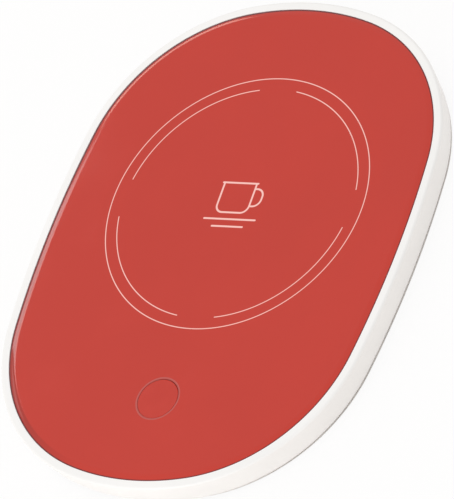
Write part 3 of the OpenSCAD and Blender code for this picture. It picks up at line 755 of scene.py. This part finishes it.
sign = {
    "shift": (0.00026, -0.00007),    # from the heater's middle
    "turn": 2.0,                     # degrees
    "ringRadius": 0.045,
    "innerRadius": 0.0411,
    "ringLine": 0.00031,
    "innerGap": 0.0067,              # half the width of the four gaps
    "stroke": 0.00062,
    "soft": 0.00006,
    # middle, half size and corner radius of each form
    "mug": ((-0.0011, 0.0042), (0.0058, 0.0076), 0.0026),
    "mugTop": 0.0072,
    "brim": ((-0.0011, 0.0072), (0.0066, 0.00031), 0.00031),
    "handle": ((0.0048, 0.0022), (0.0034, 0.0031), 0.0026),
    "plate": ((-0.0006, -0.0058), (0.0095, 0.00031), 0.00031),
    "stand": ((-0.0006, -0.0084), (0.0058, 0.00031), 0.00031),
}


def lengthOf(tree, first, second):
    squares = [calculate(tree, "MULTIPLY", part, part) for part in (first, second)]
    return calculate(tree, "SQRT", calculate(tree, "ADD", *squares))


def stroke(tree, distance, width):
    # a drawn line where the distance is near nothing
    away = calculate(tree, "ABSOLUTE", distance)
    return ramp(tree, away, width / 2 - sign["soft"], width / 2 + sign["soft"], 1.0, 0.0)


def fill(tree, distance):
    return ramp(tree, distance, -sign["soft"], sign["soft"], 1.0, 0.0)


def roundedBox(tree, across, along, form):
    # distance from a flat box with round corners, less than nothing inside
    centre, half, radius = form
    past = []
    for value, start, reach in zip((across, along), centre, half):
        away = calculate(tree, "ABSOLUTE", calculate(tree, "SUBTRACT", value, start))
        past.append(calculate(tree, "SUBTRACT", away, reach - radius))
    outside = lengthOf(tree, *[calculate(tree, "MAXIMUM", part, 0.0) for part in past])
    inside = calculate(tree, "MINIMUM", calculate(tree, "MAXIMUM", *past), 0.0)
    return calculate(tree, "SUBTRACT", calculate(tree, "ADD", outside, inside), radius)


def topmost(tree, masks):
    mask = masks[0]
    for other in masks[1:]:
        mask = calculate(tree, "MAXIMUM", mask, other)
    return mask


def ringPrint(tree, across, along):
    distance = lengthOf(tree, across, along)
    outer = stroke(tree, calculate(tree, "SUBTRACT", distance, sign["ringRadius"]), sign["ringLine"])
    inner = stroke(tree, calculate(tree, "SUBTRACT", distance, sign["innerRadius"]), sign["ringLine"])
    aside = [calculate(tree, "ABSOLUTE", part) for part in (across, along)]
    fromGap = calculate(tree, "SUBTRACT", sign["innerGap"], calculate(tree, "MINIMUM", *aside))
    return topmost(tree, [outer, calculate(tree, "MULTIPLY", inner, fill(tree, fromGap))])


def mugPrint(tree, across, along):
    below = fill(tree, calculate(tree, "SUBTRACT", along, sign["mugTop"]))
    walls = stroke(tree, roundedBox(tree, across, along, sign["mug"]), sign["stroke"])
    side = sign["mug"][0][0] + sign["mug"][1][0]
    beside = fill(tree, calculate(tree, "SUBTRACT", side, across))
    loop = stroke(tree, roundedBox(tree, across, along, sign["handle"]), sign["stroke"])
    mug = calculate(tree, "MULTIPLY", walls, below)
    handle = calculate(tree, "MULTIPLY", loop, beside)
    bars = [fill(tree, roundedBox(tree, across, along, sign[name])) for name in ("brim", "plate", "stand")]
    return topmost(tree, [mug, handle] + bars)


def separated(tree, where):
    node = tree.nodes.new("ShaderNodeSeparateXYZ")
    tree.links.new(where, node.inputs[0])
    return node.outputs


def fromCentre(tree, parts, centre):
    # across and along from this centre
    return [calculate(tree, "SUBTRACT", part, start) for part, start in zip(parts[:2], centre)]


def printPlace(tree):
    # across and along from the middle of the print
    centre = heaterMiddle + Vector(sign["shift"] + (0,))
    turned = tree.nodes.new("ShaderNodeVectorRotate")
    turned.inputs["Center"].default_value = centre
    turned.inputs["Angle"].default_value = math.radians(-sign["turn"])
    tree.links.new(place(tree), turned.inputs["Vector"])
    return fromCentre(tree, separated(tree, turned.outputs[0]), centre)


def leaning(tree, parts, shares):
    # a value that rises towards one side of the pane
    steps = [calculate(tree, "MULTIPLY", part, share) for part, share in zip(parts[:2], shares)]
    return calculate(tree, "ADD", *steps)


def glassHole():
    # middle and radius of the hole for the button
    return buttonMiddle + Vector(glass["holeShift"] + (0,)), button["capRadius"] + glass["holeGap"]


def redGlass():
    material, tree, shader = newFinish("redGlass", IOR=1.5)
    spot = printPlace(tree)
    wear = useGroup(tree, "handling")
    parts = separated(tree, place(tree))
    depth = calculate(tree, "SUBTRACT", glassHigh.z, parts["Z"])

    # paint with painted shade in the roll on one side, with the print on it
    # painted shade: the paint darkens in the edge roll towards one side of the pane
    side = ramp(tree, leaning(tree, parts, glass["rollShadeSide"]), *glass["rollShadeReach"])
    paintedRollShade = calculate(tree, "MULTIPLY", ramp(tree, depth, *glass["rollShadeDepth"]), side)
    flat = tinted(tree, wear["Smudge"], glass["paint"], glass["smudge"])
    painted = blendColors(tree, paintedRollShade, flat, shadeOf(glass["paint"], glass["rollShade"]))
    ink = topmost(tree, [ringPrint(tree, *spot), mugPrint(tree, *spot)])
    inked = blendColors(tree, ink, painted, glass["ink"])

    # ground edge around the button, then the pane's unpainted rim with painted shade of its seat
    holeMiddle, holeRadius = glassHole()
    fromHole = lengthOf(tree, *fromCentre(tree, parts, holeMiddle))
    reach = holeRadius + glass["holeRound"] + glass["groundWidth"]
    ground = fill(tree, calculate(tree, "SUBTRACT", fromHole, reach))
    bordered = blendColors(tree, ground, inked, glass["groundEdge"])
    # painted shade: the rim's dark colour stands in for the shadow in the seat's gap, wider to one side
    shadeWidening = calculate(tree, "MAXIMUM", leaning(tree, parts, glass["edgeShadeLean"]), 0.0)
    edge = ramp(tree, calculate(tree, "ADD", depth, shadeWidening), *glass["edgeShadeDepth"])
    low = calculate(tree, "MULTIPLY", edge, calculate(tree, "SUBTRACT", 1.0, ground))
    tree.links.new(blendColors(tree, low, bordered, glass["edge"]), shader.inputs["Base Color"])

    smooth = ramp(tree, wear["Smudge"], 0, 1, *glass["roughness"])
    scratches = calculate(tree, "MULTIPLY", wear["Scratch"], glass["scratchRough"])
    cut = topmost(tree, [calculate(tree, "MULTIPLY", low, glass["edgeRough"]), ground])
    rough = calculate(tree, "MULTIPLY", cut, glass["groundRough"])
    worn = calculate(tree, "ADD", smooth, scratches)
    tree.links.new(calculate(tree, "ADD", worn, rough), shader.inputs["Roughness"])
    return material


def glassEdge(high):
    # a gentle roll, then a tight round down to the side
    start, end = [math.radians(90 - tilt) for tilt in glass["rimTilt"]]
    tight = glass["edgeRound"]
    wide = glass["rimReach"] / (math.cos(end) - math.cos(start))
    across = -tight - (wide - tight) * math.cos(end)
    middleHeight = high - wide * math.sin(start)
    roll = arc(across, middleHeight, wide, math.degrees(start), math.degrees(end), steps=16)
    tightHeight = middleHeight + (wide - tight) * math.sin(end)
    return roll + arc(-tight, tightHeight, tight, math.degrees(end), 0, steps=8)[1:]


def makeGlass():
    low, high = glassLow.z, glassHigh.z
    chamfer, reach = glass["underChamfer"], -glass["faceReach"]
    section = [(reach, high)] + glassEdge(high) + [(0, low + chamfer), (-chamfer, low), (reach, low)]
    piece = sweepRound("glassPanel", section)
    holeMiddle, radius = glassHole()
    lip, over = glass["holeRound"], cutterOver
    profile = (
        [(0, low - over), (radius + lip, low - over), (radius + lip, low), (radius, low + lip)]
        + arc(radius + lip, high - lip, lip, 180, 90, steps=4)
        + [(radius + lip, high + over), (0, high + over)]
    )
    combine(piece, revolve("holeCutter", profile, holeMiddle, steps=128), "DIFFERENCE")
    shade(piece)
    finishPiece(piece, "glass", "body", "glass_panel")


button = {
    "capRadius": 0.00688,
    "edgeRound": 0.00013,
    "flange": 0.0008,
    "flangeRound": 0.0001,
    "wall": 0.0014,
    "skin": 0.0012,
    "stemRadius": 0.0015,
    "stemGap": 0.00005,
    "smudgeScale": 160.0,
    "roughness": (0.07, 0.12),
}


def buttonRed():
    # the same paint as the glass
    material, tree, shader = newFinish("buttonRed", IOR=1.5)
    smudge = useGroup(tree, "handling", Smudge_Scale=button["smudgeScale"])["Smudge"]
    tree.links.new(tinted(tree, smudge, glass["paint"], glass["smudge"]), shader.inputs["Base Color"])
    tree.links.new(ramp(tree, smudge, 0, 1, *button["roughness"]), shader.inputs["Roughness"])
    return material


def makeButton():
    low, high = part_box("button_cap")
    flangeRadius = (high.x - low.x) / 2
    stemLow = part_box("switch_plunger")[1].z + button["stemGap"]
    radius, wall = button["capRadius"], button["capRadius"] - button["wall"]
    under = high.z - button["skin"]
    flangeTop = low.z + button["flange"]
    stem, edge, soft = button["stemRadius"], button["edgeRound"], button["flangeRound"]
    profile = (
        [(0, stemLow), (stem, stemLow), (stem, under), (wall, under), (wall, low.z)]
        + [(flangeRadius - soft, low.z), (flangeRadius, low.z + soft), (flangeRadius, flangeTop - soft)]
        + [(flangeRadius - soft, flangeTop), (radius, flangeTop)]
        + arc(radius - edge, high.z - edge, edge, 0, 90, steps=6)
        + [(0, high.z)]
    )
    piece = revolve("buttonCap", profile, buttonMiddle, steps=128)
    shade(piece)
    finishPiece(piece, "button", "button", "button_cap")


feet = {
    "edgeRound": 0.0006,
    "padStep": 0.0012,        # the dish, the groove and the flat ring are laid out in these
    "dishInset": 3,           # steps from the foot's side to the dish
    "grooveEnd": 1.4,         # steps from the dish to the groove's far side
    "grooveDepth": 0.00025,
    "dish": 0.0003,
    "dishRings": 4,
}


def makeFoot(node):
    low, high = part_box(node)
    radius = (high.x - low.x) / 2
    edge, step, groove = feet["edgeRound"], feet["padStep"], feet["grooveDepth"]
    dishRadius = radius - feet["dishInset"] * step
    grooveEnd = dishRadius + feet["grooveEnd"] * step
    rings = [k / feet["dishRings"] for k in range(feet["dishRings"] + 1)]
    profile = (
        [(dishRadius * k, feet["dish"] * (1 - k ** 2)) for k in rings]
        + [(dishRadius + step, 0), (dishRadius + step, groove), (grooveEnd, groove), (grooveEnd, 0)]
        + arc(radius - edge, edge, edge, -90, 0, steps=6)
        + [(radius, high.z), (0, high.z)]
    )
    name = "".join(word.capitalize() for word in node.split("_"))
    piece = revolve("rubber" + name, profile, (low + high) / 2, steps=72)
    shade(piece)
    finishPiece(piece, "feet", "body", node)


def springDome():
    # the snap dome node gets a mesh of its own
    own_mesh(frame["nodes"]["switch_dome"])


looks = {item["slot"]: makeFinish(item["slot"]) for item in frame["record"]["materials"]}
print("finishes made")

dressNodes()
springDome()
makeHousing()
print("housing made")
makeGlass()
makeButton()
print("glass and button made")
for node in footNodes:
    makeFoot(node)
print("feet made")

addFloor()
addWorld()
for name, values in lamps.items():
    addLamp(name, values)
addCamera()
bpy.context.scene.view_settings.view_transform = "Standard"
print("stage set")
